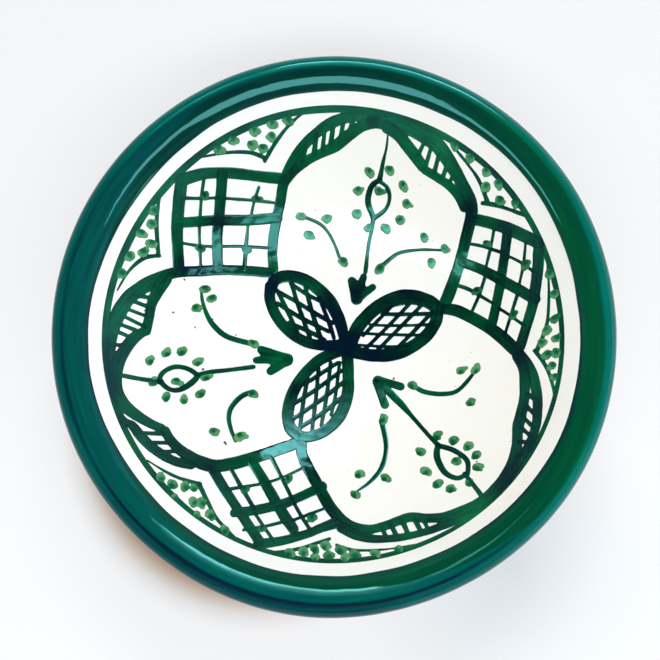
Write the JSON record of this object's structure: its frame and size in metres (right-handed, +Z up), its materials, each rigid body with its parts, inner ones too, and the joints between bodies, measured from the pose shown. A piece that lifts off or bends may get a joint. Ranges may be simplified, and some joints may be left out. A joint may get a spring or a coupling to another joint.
{
  "type": "hand painted ceramic plate",
  "caption": "Deep footed dish in red clay with a white glazed well, a green glazed rolled lip and green hand brushwork of lobes, almonds, check panels, stems and dabs.",
  "frame": {"origin": "on the table, at the middle of the foot ring", "axes": "+Z up along the dish's axis, +Y towards the tip of the top lobe's side of the pattern, +X to the right of it"},
  "size_m": [0.2, 0.2, 0.056],
  "materials": {
    "red_clay": "bare fired red earthenware, matt, with faint throwing rings",
    "white_glaze": "glossy warm white glaze",
    "green_glaze": "glossy deep green glaze, streaked round the lip",
    "brush_green": "dark green brushwork fired into the glossy glaze",
    "leaf_green": "thin leaf green dabs and lines fired into the glossy glaze"
  },
  "bodies": {
    "root": {"clay_body": "red_clay", "white_glaze": "white_glaze", "rim_glaze": "green_glaze", "ring_line": "brush_green", "lobe_top": "brush_green", "lobe_left": "brush_green", "lobe_right": "brush_green", "almond_left": "brush_green", "almond_right": "brush_green", "almond_low": "brush_green", "check_panel_left": "brush_green", "check_panel_right": "brush_green", "check_panel_low": "brush_green", "corner_top_left": "leaf_green", "corner_left": "leaf_green", "corner_top_right": "leaf_green", "corner_right": "leaf_green", "corner_low": "leaf_green", "corner_low_left": "leaf_green", "stem_top": "brush_green", "stem_left": "brush_green", "stem_right": "brush_green", "sprigs_top": "leaf_green", "sprigs_left": "leaf_green", "sprigs_right": "leaf_green", "eye_dots_top": "leaf_green", "eye_dots_left": "leaf_green", "eye_dots_right": "leaf_green"}
  },
  "joints": []
}
